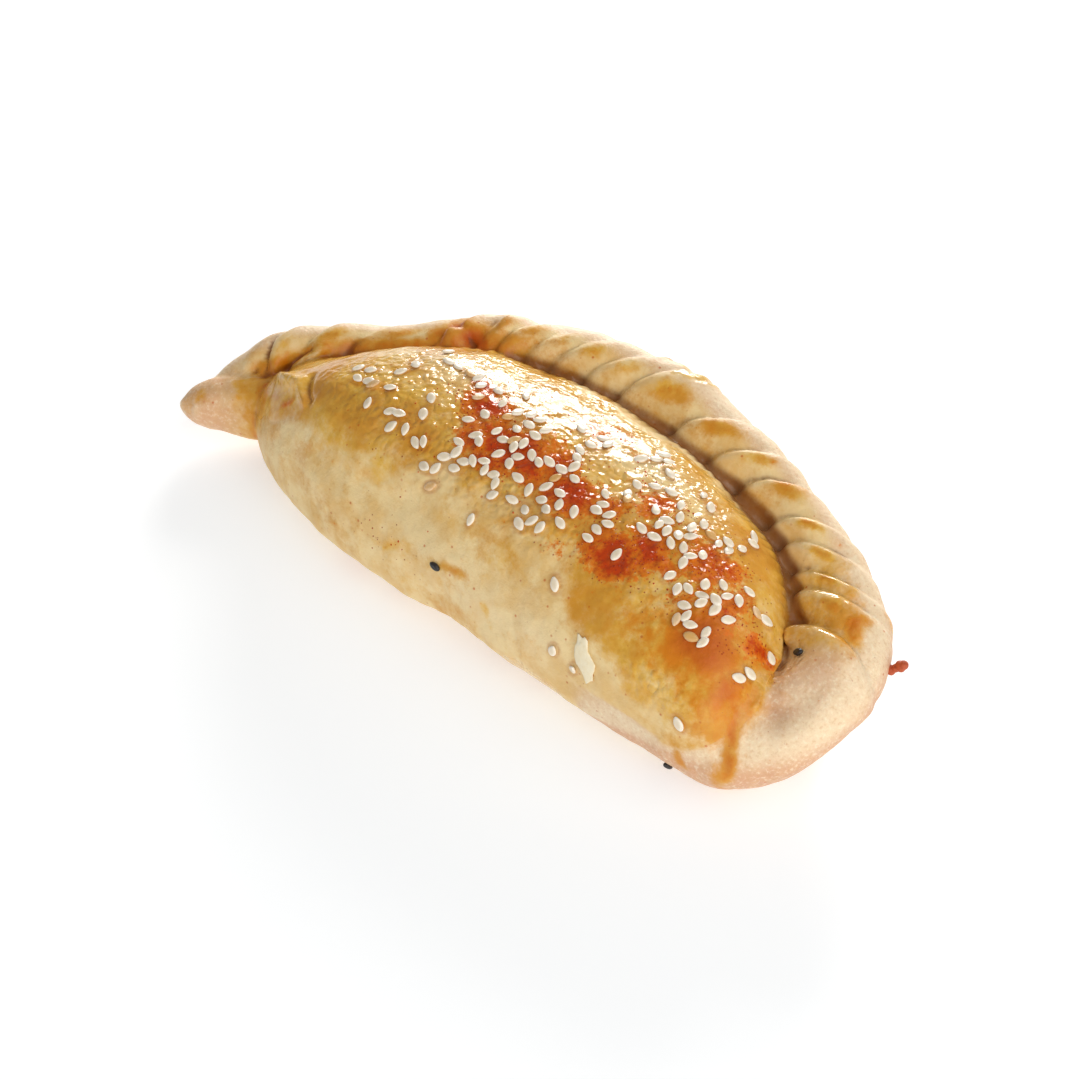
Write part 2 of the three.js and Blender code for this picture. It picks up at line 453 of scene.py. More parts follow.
class Skin:
    # the crust's points as arrays, in millimetres, with the edges that join them
    def __init__(self, piece):
        self.data = piece.data
        self.points = pointArray(self.data, "co") / mm
        count = len(self.points)
        edges = np.empty(len(self.data.edges) * 2, int)
        self.data.edges.foreach_get("vertices", edges)
        self.first, self.second = edges.reshape(-1, 2).T
        self.links = np.bincount(self.first, minlength=count) + np.bincount(self.second, minlength=count)

    def average(self, values):
        # each point's mean over its neighbours
        columns = values.reshape(len(self.points), -1)
        total = np.empty_like(columns)
        for number in range(columns.shape[1]):
            column = columns[:, number]
            total[:, number] = (np.bincount(self.first, column[self.second], len(column))
                                + np.bincount(self.second, column[self.first], len(column)))
        return (total / self.links[:, None]).reshape(values.shape)

    def blurred(self, values, rounds):
        for _ in range(rounds):
            values = 0.5 * values + 0.5 * self.average(values)
        return values

    def store(self):
        self.data.vertices.foreach_set("co", (self.points * mm).ravel())
        self.data.update()

    def normals(self):
        self.store()
        return pointArray(self.data, "normal")

    def keep(self, name, values):
        layer = self.data.attributes.new(name, "FLOAT", "POINT")
        layer.data.foreach_set("value", np.clip(values, 0, 1).astype(np.float32))


def cloudAt(points, size, shift=0.0):
    # soft noise from -1 to 1, with lumps about size mm across
    offset = Vector((shift, shift * 1.7, shift * 0.6))
    return np.array([noise.noise(Vector(point) / size + offset) for point in points])


def spotAt(points, centre, size):
    # 1 at the centre, fading out over size, which may differ by axis
    away = (points - np.array(centre)) / np.array(size)
    return np.exp(-(away ** 2).sum(1))


def ropeCoordinates(points):
    # each point's distance along the rope, its angle round it, and its gap from the surface
    tree = KDTree(len(ropeShares))
    route, outward, upward = routeFrame(rope["route"], ropeShares)
    for number, spot in enumerate(route):
        tree.insert(spot, number)
    tree.balance()
    nearest = np.array([tree.find(point)[1] for point in points])
    away = points - route[nearest]
    out = (away * outward[nearest]).sum(1)
    up = (away * upward[nearest]).sum(1)
    radius = alongCurve(rope["radii"], ropeShares)[:, 0][nearest]
    return ropeDistances[nearest], np.arctan2(up, out), np.hypot(out, up) - radius


# the lumps and wrinkles that every baked crust has
unevenness = {
    "lumps": [(0.8, 18, 0), (0.34, 7, 3.1), (0.12, 2.6, 7.7)],  # height, size and noise shift of each kind
    "wrinkles": (0.1, 4.5, 5.3),
    "tightRipple": 0.16,  # height of the fine ripples beside the groove
    "ripplesPerMm": 2.1,
    "rippleWander": 2.5,
    "wanderSize": 5,
}

# where two layers of dough have melted into each other: centre, size, rounds of smoothing
meltedSpots = [((71, -20, 13), (8, 6, 10), 120), ((67, -12, 19), (5, 6, 5), 70),
               ((-64, -24, 14), (5, 4, 6), 6)]

# stretches that were pushed or pulled while the dough was soft: centre, reach, shift
pulls = [
    ((86, -4, 5), (9, 13, 10), (-4.2, 0.4, 0)), ((73, 16, 24), (7, 8, 9), (0.9, 1.0, 0)),
    ((47, 31, 27), (12, 9, 11), (-0.3, -2.5, 0)), ((2, 31, 30), (13, 10, 9), (0, 1.7, 1.4)),
    ((-32, 27, 30), (9, 8, 9), (0, -1.1, -1.6)), ((-41.5, 17, 30), (3.5, 5, 5), (0, -0.4, -1.2)),
    ((-38, 21, 30), (3.5, 5, 5), (0, 0.4, 1.2)), ((-60, 6, 24), (13, 10, 8), (0, -0.4, -1.1)),
    ((-78, -12, 17), (7, 7, 7), (0, 0.5, 2.0)), ((-34, -34, 6), (17, 8, 9), (0, -1.4, 0)),
    ((37, -31, 5), (9, 7, 7), (0, -0.8, 0)), ((71, -22, 3), (5, 6, 8), (0.4, -1.1, 0)),
    ((-83, -33, 10), (6, 6, 7), (0, 0, -0.9)), ((67, -22, 21), (6, 6, 6), (0, -0.5, 1.0)),
    ((71.5, -10.5, 20.5), (4, 7, 5), (-0.8, 0, 1.8)),
]

# low places and raised ones: centre, size, height in mm
dentsAndLumps = [
    ((-22, -33, 25), (16, 5, 4), -0.9), ((-8, -31, 25), (9, 4, 3.5), -0.8),
    ((-34, -31, 28), (12, 6, 5), 0.5), ((-50, -27, 24), (6, 6, 5), -0.7), ((34, -30, 22), (14, 6, 5), 0.4),
    ((75, -12, 20), (4, 5, 4), -0.8), ((80, -9, 20), (3, 5, 5), 0.5), ((60, -24, 22), (7, 5, 5), 0.4),
    ((-58, -22, 25), (7, 3, 3), 0.9), ((-46, -22, 31), (5, 4, 4), 0.6), ((-62, -29, 16), (6, 4, 6), -0.7),
    ((20, -33, 22), (10, 4, 4), -0.5), ((-36, -33, 18), (12, 4, 3), 0.6), ((52, -28, 26), (6, 4, 4), 0.7),
]

leftLedge = [(-70, -19.5, 19), (-66, -21, 21.5), (-60, -23, 24), (-54, -24, 27)]
flapEdge = [(64, 1.5, 22.5), (65.8, -5, 22), (68, -11, 21.5), (70.3, -15.4, 20)]

# raised seams, and sunk ones with a height below 0: the points they pass, their height and width in mm
welts = [
    (leftLedge, 1.5, 1.4),
    ([(-53.5, -23, 28), (-51.5, -25, 27), (-48, -27, 27)], 0.8, 0.9),
    ([(-52, -22, 28.5), (-50, -24.5, 28), (-47, -26.5, 28)], -0.7, 1.0),
    ([(-76, -14, 20), (-75, -16, 19), (-72, -20, 17)], -1.0, 0.9),
    ([(-74.5, -13.5, 20), (-73, -15.5, 19), (-71, -18, 17.5)], 0.9, 1.1),
    ([(-67, -11, 21.5), (-68.5, -13, 19.5), (-69.5, -16, 17)], -1.2, 1.0),
    ([(-64.5, -9, 22.5), (-66.5, -12, 20), (-67.5, -14.5, 18)], 1.1, 1.5),
    ([(-61, -4, 24), (-60.5, -6.5, 22), (-59.5, -8.5, 20)], -0.9, 1.0),
    ([(-45.5, 11.5, 29.5), (-42.5, 12, 28.5), (-39, 11, 27.5)], -1.1, 1.0),
    ([(-46.5, 10, 29.5), (-44.5, 9.5, 28), (-41.5, 8.5, 26)], 0.7, 1.4),
    ([(-40, 18, 30.5), (-39.5, 14, 30), (-36.5, 11, 28)], -0.9, 1.0),
    ([(-37, 19, 31), (-35, 14.5, 31), (-33, 12, 29)], 0.9, 1.3),
    (flapEdge, 1.7, 1.6),
    ([(67, -13, 20), (69.5, -18, 18), (71.5, -20.5, 13)], 0.8, 1.8),
    ([(64.5, -10, 20.5), (67, -17, 18.5), (69, -22, 13)], -0.8, 1.6),
    ([(63, 0, 21), (63.8, -6, 20), (66, -12.5, 20.5)], -0.8, 1.2),
    ([(69, -19, 21), (70, -22.5, 17), (71, -24, 11), (70.5, -22, 4)], -0.5, 1.6),
]


def weltRelief(points, route, height, width):
    # height along the route, fading out over width to each side
    line = alongCurve(route, np.linspace(0, 1, 40))
    near = np.full(len(points), 1e9)
    for spot in line:
        near = np.minimum(near, ((points - spot) ** 2).sum(1))
    return height * np.exp(-near / width ** 2)


def sculptSkin(surface):
    for centre, reach, shift in pulls:
        surface.points = surface.points + spotAt(surface.points, centre, reach)[:, None] * np.array(shift)
    for centre, size, rounds in meltedSpots:
        weight = spotAt(surface.points, centre, size)[:, None]
        surface.points = surface.points + weight * (surface.blurred(surface.points, rounds) - surface.points)
    surface.points = surface.blurred(surface.points, skin["settle"])
    points = surface.points
    normals = surface.normals()
    distance, angle, gap = ropeCoordinates(points)
    onRope = smooth(1.6, 0.2, gap)
    relief = sum(height * cloudAt(points, size, shift) for height, size, shift in unevenness["lumps"])
    height, size, shift = unevenness["wrinkles"]
    relief += height * (1 - 2 * np.abs(cloudAt(points, size, shift))) * (1 - onRope)
    for centre, size, height in dentsAndLumps:
        relief += height * spotAt(points, centre, size)
    for route, height, width in welts:
        relief += weltRelief(points, route, height, width)
    # fine ripples in the dome's skin beside the groove, where the crimp has drawn it tight
    besideGroove = smooth(6.5, 1.5, gap) * (1 - onRope) * smooth(20, 26, points[:, 2])
    wander = unevenness["rippleWander"] * cloudAt(points, unevenness["wanderSize"], 1.3)
    ripple = np.sin(distance * unevenness["ripplesPerMm"] + wander)
    relief += unevenness["tightRipple"] * besideGroove * ripple
    # the flat base keeps its level
    relief *= smooth(0.3, 4, points[:, 2])
    surface.points = points + normals * relief[:, None]
    surface.points[:, 2] = np.maximum(surface.points[:, 2], 0)


# egg wash, browning, spice and its grains, rosy and floury dough: each patch's centre, size, strength
bakePatches = {
    "gold": [
        ((-40, -24, 31), (19, 9, 9), 1.0), ((-60, -25, 21), (9, 7, 10), 1.0),
        ((-66, -26, 14), (5, 6, 9), 1.0), ((-67, -21, 18), (7, 6, 8), 1.1), ((50, 9, 28), (9, 6, 8), 1.0),
        ((30, -20, 33), (14, 6, 8), 0.4), ((70, -21, 16), (4, 4, 8), 0.8), ((5, -28, 27), (14, 5, 4), 0.3),
        ((66, -24, 14), (5, 4, 7), 0.5), ((-27, -18, 35), (12, 8, 6), 0.8), ((14, -28, 26), (9, 5, 5), 0.45),
        ((40, 12, 31), (9, 5, 5), 0.7), ((62, 0, 24), (4, 6, 5), 0.7), ((66, -26, 9), (4, 4, 8), 0.75),
        ((72, -19, 18), (3, 4, 5), 0.6), ((20, -22, 32), (25, 6, 6), 0.35), ((0, -34, 12), (60, 6, 8), 0.24),
    ],
    "brown": [
        ((60, -18, 29), (10, 10, 9), 1.1), ((66, -20, 22), (5, 6, 7), 1.0), ((50, -22, 29), (11, 6, 6), 0.6),
        ((-66, -24, 16), (4, 4, 8), 0.6), ((-60, -27, 20), (6, 4, 7), 0.5), ((52, -26, 25), (7, 4, 4), 0.3),
        ((-40, 11, 27), (8, 4, 4), 1.0), ((-46, 8, 28), (5, 4, 4), 0.7), ((-13, -35, 17), (5, 3, 1.5), 0.3),
        ((66, -26, 18), (3, 3, 4), 0.6), ((72, -9, 19), (3, 3, 3), 0.2), ((73.5, 7, 27), (2.5, 4, 3), 0.7),
        ((40, -26, 26), (6, 3, 3), 0.15),
    ],
    "spice": [
        ((-12, -8, 37), (7, 5, 7), 0.95), ((1, -13, 37), (12, 5, 8), 1.0),
        ((17, -12.5, 37), (7, 5, 6), 0.95), ((-9, -17, 36), (4, 4, 4), 0.8),
        ((34, -17.5, 34), (7, 4.5, 5), 1.0), ((39, -12, 35), (7, 4, 5), 0.9),
        ((31, -3, 37), (6, 6, 4), 0.75), ((48, -5, 34), (7, 6, 5), 0.7), ((8, 5, 36), (9, 6, 5), 0.4),
        ((58, -8, 31), (6, 6, 5), 0.55), ((66, -9, 26), (2.5, 3, 4), 0.8), ((23, -22, 32), (5, 3, 4), 0.35),
        ((52, -14, 33), (8, 5, 5), 0.4), ((-17, -4, 37), (4, 3, 4), 0.7), ((-3, -18, 36), (6, 3.5, 5), 0.75),
        ((10, -9, 37), (7, 4, 5), 0.8), ((24, -9, 36), (5, 4, 4), 0.6),
    ],
    "speckle": [
        ((10, 4, 37), (12, 7, 6), 0.75), ((30, -4, 37), (10, 8, 6), 0.9), ((47, -2, 34), (9, 8, 6), 0.8),
        ((0, -10, 37), (16, 9, 6), 0.6), ((62, -9, 29), (8, 8, 6), 0.6), ((-20, -4, 37), (9, 6, 5), 0.4),
        ((-14, -34, 17), (7, 4, 4), 0.55), ((40, -15, 34), (14, 8, 6), 0.7),
        ((-20, -25, 32), (8, 5, 5), 0.35),
    ],
    "pink": [
        ((78, -9, 15), (13, 15, 14), 1.5), ((-80, -30, 10), (12, 10, 9), 1.0),
        ((82, 6, 16), (8, 12, 12), 0.8),
    ],
    # pale: floury dough, and a painted highlight along the flap's ridge
    "pale": [
        ((-48, -28, 24), (12, 5, 5), 0.3), ((77, -8, 21), (6, 5, 4), 0.9), ((20, -34, 17), (30, 5, 7), 0.5),
    ],
}

# where gold is taken off along the crest, a painted sheen that pales it like a highlight: centre and size
crestSheenSpots = [((-24, -4, 36.5), (20, 6, 7)), ((18, 4, 36), (24, 7, 8))]

# where glaze gathered on the flap: centre, size and strength
flapGlaze = [((69, -4, 23), (5, 8, 5), 0.9), ((69, -12, 21), (3.5, 7, 4), 1.0)]

# where dry dough tanned softly, and painted shade that darkens the horn and the rope's outer wall: centre,
# size and strength
tanAndShadeSpots = [((75.5, -14.5, 18), (3, 3.5, 5), 0.5), ((78, -14.5, 12), (3, 3.5, 5), 0.4),
          ((-78, -28, 8), (12, 9, 8), 0.26), ((-62, -32, 8), (9, 5, 7), 0.1),
          ((83, 5, 12), (5, 16, 9), 0.2), ((71, -9, 20), (3, 3, 3), 0.2)]

# where the glaze ran and browned: the points it passes, its width in mm and its strength
drips = [
    ([(67, -18, 23), (70, -22, 17), (71.5, -23.5, 11), (71.5, -24.5, 4), (71, -24.5, 0)], 1.7, 0.72),
    ([(60, -27, 20), (62, -27.5, 14), (64, -27, 8)], 1.3, 0.5),
    ([(-35, -34, 0), (0, -33, 0), (35, -31, 0), (66, -26, 0)], 2.0, 0.75),
    ([(-12, -34, 16), (-5, -34.5, 17.5), (6, -33.5, 19)], 0.8, 0.5),
    ([(14, -33, 18), (15, -33.5, 14), (16, -33, 12)], 0.6, 0.5),
    ([(-69, -21.5, 17), (-65, -23, 19.5), (-59, -25.5, 22), (-54, -26, 25)], 1.3, 0.8),
    ([(-69, -23, 16), (-68, -26, 10), (-66, -28, 5)], 1.6, 0.6),
]

# the wash's lower edge: how high it is, in mm, at places along X
washEdge = [(-66, 10), (-50, 18), (-25, 24), (-5, 29), (20, 30), (38, 22), (60, 13)]

ropeLook = {
    "goldAngle": 104,  # degrees round from the outer side, where the egg wash caught the pleats
    "goldReach": 22,
    "goldPlace": 0.42,  # how far across each pleat
    "goldWidth": 0.27,
    "gold": [0, 0.2, 0.6, 0.9, 0.7, 0.8, 0.8, 0.7, 0.6, 0.8, 0.7, 0.9, 0.95, 0.85, 0.9, 0.95, 1, 1, 1],
}


def ropeGold(distance, angle):
    # one soft patch of egg wash on each pleat
    row = distance - rope["twist"] * np.cos(angle)
    around = np.exp(-((np.degrees(angle) - ropeLook["goldAngle"]) / ropeLook["goldReach"]) ** 2)
    total = np.zeros(len(row))
    for start, width, strength in zip(pleatStarts, pleatWidths, ropeLook["gold"]):
        across = (row - start) / width - ropeLook["goldPlace"]
        total = np.maximum(total, strength * np.exp(-(across / ropeLook["goldWidth"]) ** 2) * around)
    return total


def most(*amounts):
    # the strongest of several amounts at each point
    return np.maximum.reduce(amounts)


def paintSkin(surface):
    points = surface.points
    height = points[:, 2]
    normals = surface.normals()
    distance, angle, gap = ropeCoordinates(points)
    onRope = smooth(1.6, 0.7, gap)
    inward = -np.cos(angle)
    # the places wander by up to 3 mm, for uneven edges
    wobble = np.column_stack([cloudAt(points, 8, shift) for shift in (11.0, 23.0, 37.0)])
    warped = points + 3 * wobble
    amounts = {}
    for name, patches in bakePatches.items():
        total = np.zeros(len(points))
        for centre, size, strength in patches:
            total = most(total, strength * spotAt(warped, centre, size))
        amounts[name] = total
    for route, width, strength in drips:
        amounts["brown"] = most(amounts["brown"], weltRelief(warped, route, strength, width))
        amounts["gold"] = most(amounts["gold"], weltRelief(warped, route, 1.3 * strength, width * 2.2))
    # how far each point lies below its wide and its close surroundings
    hollow = ((surface.blurred(points, 26) - points) * normals).sum(1)
    near = ((surface.blurred(points, 6) - points) * normals).sum(1)
    # painted shade: darker in the groove beside the rope, and in hollows and creases
    groove = smooth(0.75, 0.97, inward) * smooth(3.2, 0.2, gap) * smooth(10, 16, height)
    groove = groove * smooth(196, 182, distance)
    creases = smooth(0.1, 1.2, hollow) * 0.7 + smooth(0.015, 0.2, near) * 0.55
    creases *= 1 - 0.6 * spotAt(points, (71, -12, 20), (5, 9, 7))  # less painted shade beside the flap
    lowest = np.interp(points[:, 0], *zip(*washEdge)) + 5 * wobble[:, 0]
    wash = smooth(0, 6, height - lowest) * (1 - onRope)
    innerSide = onRope * smooth(0.1, 0.85, inward) * smooth(-0.3, 0.3, np.sin(angle))
    leftInner = innerSide * smooth(84, 66, distance) * smooth(6, 16, distance)
    glazedPleats = onRope * smooth(160, 168, distance) * smooth(190, 184, distance)
    glazedPleats = glazedPleats * smooth(-0.75, -0.2, inward)
    bottomLine = smooth(3.6, 0.6, height) * (1 - onRope)
    pleatGold = ropeGold(distance, angle) * onRope
    offRope = 1 - onRope * smooth(-72, -58, points[:, 0])
    amounts["gold"] = most(amounts["gold"] * offRope, 0.66 * wash, 0.8 * bottomLine, pleatGold,
                           0.28 * innerSide, leftInner, 0.5 * glazedPleats)
    amounts["brown"] = most(amounts["brown"], 0.5 * pleatGold, 0.6 * leftInner, 0.4 * bottomLine)
    # along the crest less gold: a painted sheen, paler like a highlight
    crest = most(*(spotAt(warped, *spot) for spot in crestSheenSpots))
    amounts["gold"] *= 1 - 0.75 * crest * (1 - onRope)
    # browning and spice always lie on gold
    amounts["gold"] = most(amounts["gold"], 1.5 * amounts["brown"], 1.3 * amounts["spice"])
    amounts["shade"] = most(creases, groove)
    # tan patches, and painted shade on the horn and the outer wall
    for centre, size, strength in tanAndShadeSpots:
        amounts["shade"] = most(amounts["shade"], strength * spotAt(warped, centre, size))
    # paler on ridges, a painted highlight, and paler on the rope's outer upper side
    amounts["pale"] = most(amounts["pale"], smooth(-0.15, -0.9, hollow),
                           onRope * smooth(0.1, -0.6, inward) * smooth(0, 0.6, np.sin(angle)))
    amounts["pink"] = most(amounts["pink"], onRope * smooth(0.2, -0.6, inward) * 1.1)
    flapGloss = most(*(strength * spotAt(points, *spot) for *spot, strength in flapGlaze))
    ledgeGloss = most(weltRelief(points, leftLedge, 0.9, 2.2), weltRelief(points, flapEdge, 1.0, 2.0))
    amounts["gloss"] = most(wash, innerSide * 0.6, glazedPleats, flapGloss, ledgeGloss,
                            0.4 * amounts["gold"])
    # where the glaze dried in ripples and blisters
    onCrown = smooth(28, 35, height) * (1 - onRope)
    lowBlisters = spotAt(points, (56, -27, 22), (7, 4, 4))
    amounts["crackle"] = most(onCrown, 0.4 * glazedPleats, flapGloss, ledgeGloss, lowBlisters)
    for name, values in amounts.items():
        surface.keep(name, values)


crustTints = {  # from 0 to 255
    "dough": (243, 215, 158), "tannedDough": (231, 192, 124), "rosy": (217, 166, 134),
    "paleDoughAndRidgeHighlight": (246, 228, 192), "poreRim": (250, 236, 206), "pore": (206, 160, 104), "gold": (230, 180, 62),
    "amberGold": (212, 144, 28), "deepGold": (190, 124, 30), "amber": (216, 126, 14), "brown": (192, 84, 6),
    "spiceHalo": (222, 112, 10), "spiceCore": (190, 52, 2), "speck": (168, 40, 10), "freckle": (196, 92, 22),
    "crease": (132, 68, 22), "glazeAndShadowRing": (180, 88, 10),
}


def crustFinish():
    paint = Paint("crust")
    tints = {name: tint(*parts) for name, parts in crustTints.items()}
    names = "gold brown spice speckle pink pale shade gloss crackle pool"
    gold, brown, spice, speckle, pink, pale, shade, gloss, crackle, pool = map(paint.attribute, names.split())
    broad = paint.cloud(11, 4, 0.6)
    medium = paint.cloud(3, 5, 0.65, 0.31)
    fine = paint.cloud(0.7, 4, 0.7, 0.67)
    streak = paint.cloud(2.4, 4, 0.6, 0.9, (1, 1, 0.35))
    soft = paint.cloud(7, 3, 0.5, 6.3)
    lumpy = medium - 0.5
    gritty = fine - 0.5
    unevenGold = lumpy * 1.3 + (broad - 0.5) * 1.3 + gritty * 0.5
    # dry dough and its pores
    tanning = (soft + lumpy * 0.3).between(0.35, 0.65)
    colour = paint.mix(tanning, tints["dough"], tints["tannedDough"])
    pores = paint.cloud(0.8, 3, 0.65, 5.1)
    porous = 0.12 + pink * 0.88
    # egg wash, thin and thick
    goldMask = (gold * 1.3 + unevenGold).between(0.12, 0.98)
    goldTone = paint.mix(broad.between(0.35, 0.65), tints["gold"], tints["amberGold"])
    deepGold = (gold * 1.1 + lumpy * 1.2 - 0.72).between(0, 0.5)
    # browned glaze
    brownMask = (brown * 1.25 + lumpy * 1.1 + (streak - 0.5) * 1.1).between(0.25, 1.05)
    brownTone = paint.mix((brown + (broad - 0.5)).between(0.5, 1.1), tints["amber"], tints["brown"])
    # ground spice that bled into the glaze, and its grains
    mottle = paint.cloud(1.5, 4, 0.7, 3.7)
    spread = spice * 1.15 + lumpy * 0.9 + (mottle - 0.5) * 1.1 + gritty * 0.6
    dark, cell = paint.grains(0.7)
    speck = (0.27 - dark).between(0, 0.1) * (speckle * 0.5 + spice * 0.5 + cell - 0.95).between(0, 0.1)
    faint, faintCell = paint.grains(1.6, 0.53)
    freckle = (0.24 - faint).between(0, 0.14) * (faintCell + speckle * 0.3).between(0.85, 0.95)
    # from the dough outwards: how much of each layer shows, and its tint
    layers = [
        (pink * (0.5 + medium * 0.7), tints["rosy"]),
        (pale * 0.7, tints["paleDoughAndRidgeHighlight"]),
        (pores.between(0.5, 0.7) * porous * 0.5, tints["poreRim"]),
        (pores.between(0.48, 0.3) * porous * 0.35, tints["pore"]),
        (goldMask * 0.9, goldTone),
        (deepGold * 0.6, tints["deepGold"]),
        (brownMask * 0.92, brownTone),
        (spread.between(0.26, 0.52) * 0.85, tints["spiceHalo"]),
        (spread.between(0.5, 1.0) * 0.9, tints["spiceCore"]),
        (speck * 0.75, tints["speck"]),
        (freckle * 0.7, tints["freckle"]),
        # painted shade in creases, in the groove and on the shaded patches
        ((shade * (0.75 + medium * 0.5)).between(0.05, 1.0) * 0.85, tints["crease"]),
        # a ring at each seed's foot: pooled glaze and painted shadow
        (pool * 0.42, tints["glazeAndShadowRing"]),
    ]
    for amount, tone in layers:
        colour = paint.mix(amount, colour, tone)
    # glaze shines less where it browned
    wet = (gloss * 1.2 + lumpy * 0.7 + gritty * 0.3).between(0.15, 0.85)
    wet = wet * (1 - (brown * 0.55).between(0, 0.7))
    rough = 0.5 - 0.34 * wet + 0.1 * lumpy
    ripple = paint.math("ABSOLUTE", paint.cloud(2.7, 1, 0.5, 1.7) - 0.5) * 2
    blister = paint.cloud(1.3, 0, 0.5, 2.3)
    grain = (medium * 0.45 + fine * 0.22 + pores * 0.14) * (1 - 0.65 * wet)
    height = grain + (ripple + blister * 0.8) * (0.12 + crackle * 0.88) + speck * 0.2
    return paint.finish({
        "Base Color": colour, "Roughness": rough, "Specular IOR Level": 0.3, "Coat Weight": wet * 0.25,
        "Coat Roughness": 0.1, "Subsurface Weight": 0.06, "Subsurface Radius": (1.0, 0.5, 0.25),
        "Subsurface Scale": 0.0018, "Normal": paint.bump(height, 0.5, 1.0),
    })


def makeCrust():
    piece = joinShells()
    remeshSkin(piece)
    surface = Skin(piece)
    sculptSkin(surface)
    paintSkin(surface)
    surface.store()
    piece.data.shade_smooth()
    piece.data.materials.clear()
    piece.data.materials.append(crustFinish())
    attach(piece, "root")
    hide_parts("pastry")
    print("crust:", len(piece.data.polygons), "faces")
    return piece


sesame = {
    "length": 3.35,
    "width": 2.2,
    "thickness": 0.95,
    "sink": 0.12,  # how deep a seed sits in the glaze
    "gap": 1.95,  # least distance between two seeds' middles
    # clusters: a place near the middle, how far they spread along and across, how many seeds
    "clusters": [
        ((-10, -5, 38), (6, 2), 11), ((-3, -10, 38), (5, 2.5), 12), ((6, -13, 37), (6, 3.5), 12),
        ((-6, -18.5, 36), (3, 2), 7), ((3, -19.5, 35), (4, 1.6), 7), ((13, -18.5, 35), (4, 2.5), 8),
        ((15, -10, 37), (4, 3), 7), ((8, 0, 37), (4, 2), 4), ((21, 6, 36), (3, 2), 5),
        ((23, -4, 37), (2.5, 1.5), 3), ((31, 2, 36), (3, 3), 5), ((37, -4, 36), (3.5, 3), 7),
        ((40, -8, 35), (4.5, 2), 9), ((45, -1, 34), (2.5, 2), 4), ((47, 7, 30), (2.5, 2), 3),
        ((52, -12, 33), (2, 3), 7), ((56, -11, 32), (2.5, 3), 9), ((57, -17.5, 30), (2.5, 1.5), 4),
        ((61, -6.5, 29), (1.5, 1.5), 1), ((65, -7, 25), (1, 1), 1), ((66, -16, 25), (1, 2), 2),
        ((-33, -14, 35), (5, 3), 5), ((-38, -19, 34), (3, 2.5), 4), ((-27, -21, 34), (4, 1.5), 4),
        ((-19, -22, 34), (3, 1.5), 3), ((-23, -14, 36), (2, 1.5), 1), ((-10, -25.5, 32), (1.5, 1.5), 3),
        ((-25, -3, 36), (3, 1), 3), ((-33, -1, 34), (1, 1), 1), ((27.5, -12.5, 36), (1.5, 1), 2),
        ((27, -17, 35), (1, 1), 1), ((35, -17, 34), (1, 1), 1), ((45, -14, 34), (1, 1), 1),
        ((28, -26, 28), (0.5, 0.5), 1), ((4, -27, 29), (0.5, 0.5), 1), ((63, -27, 19), (0.5, 0.5), 1),
        ((33.2, -30.8, 17.5), (0.4, 0.4), 1), ((37.7, -30.8, 16), (0.4, 0.4), 1),
    ],
    "tries": 200,  # draws for one cluster before it is left as it is
    "sizes": (0.9, 1.06),
    "widths": (0.9, 1.08),
    "tilt": 0.1,  # radians
    "unevenSink": 0.2,
    "piled": 0.75,  # closer than this share of its length, a seed lies on its neighbour
    "pileRise": 0.45,
    "point": 0.5,  # how sharp the narrow end is, from 0 to 1
    "toasted": 0.07,  # share of the seeds that browned
    "toast": (0.5, 0.9),
    "plainToast": (0, 0.12),
    "ringPlace": 1.1,  # the ring of pooled glaze and painted shadow round a seed, as a share of the seed's half size
    "ringWidth": 0.26,
    "seed": 12,
}


def seedShape(length, width, thickness, point):
    # a flat drop with a slightly sunk face, its length along X and its point at one end
    shape = bmesh.new()
    bmesh.ops.create_uvsphere(shape, u_segments=10, v_segments=6, radius=0.5)
    for corner in shape.verts:
        ahead = 2 * corner.co.x
        fromMiddle = 2 * math.hypot(corner.co.x, corner.co.y)
        corner.co.y *= 1 - point * max(ahead, 0) ** 1.3 + 0.25 * point * min(ahead, 0)
        corner.co.z *= 0.74 + 0.26 * min(1, fromMiddle / 0.6)
    bmesh.ops.scale(shape, vec=Vector((length, width, thickness)) * mm, verts=shape.verts)
    return meshFrom("seedShape", shape)


class Ground:
    # the finished crust, to set things down on
    def __init__(self, piece):
        shape = bmesh.new()
        shape.from_mesh(piece.data)
        self.tree = BVHTree.FromBMesh(shape)
        shape.free()

    def nearest(self, spot):
        place, normal, _, _ = self.tree.find_nearest(Vector(spot) * mm)
        return place, normal

    def scattered(self, centre, spread, dice):
        # a place near the centre, spread along the pastry and across it
        place, normal = self.nearest(centre)
        along = Vector((1, 0, 0)) - normal * normal.x
        along.normalize()
        across = normal.cross(along)
        spot = place + (along * dice.gauss(0, spread[0]) + across * dice.gauss(0, spread[1])) * mm
        return self.tree.find_nearest(spot)[:2]


def standingOn(place, normal, turn, rise, tilt=0.0):
    # the transform that lays a small thing on the crust, turned about the surface's normal
    lay = normal.to_track_quat("Z", "X").to_matrix().to_4x4()
    spin = Matrix.Rotation(turn, 4, "Z") @ Matrix.Rotation(tilt, 4, "Y")
    return Matrix.Translation(place + normal * rise * mm) @ lay @ spin


def addCopy(whole, data, transform):
    # one more copy of a small mesh in a joined one; its points are given back
    before = len(whole.verts)
    whole.from_mesh(data)
    whole.verts.ensure_lookup_table()
    new = whole.verts[before:]
    bmesh.ops.transform(whole, matrix=transform, verts=new)
    return new


def finishPiece(name, whole, material, rounds=1):
    piece = newPiece(name, whole)
    if rounds:
        rounded = piece.modifiers.new("rounded", "SUBSURF")
        rounded.levels = rounded.render_levels = rounds
    piece.data.materials.append(material)
    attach(piece, "root")
    return piece


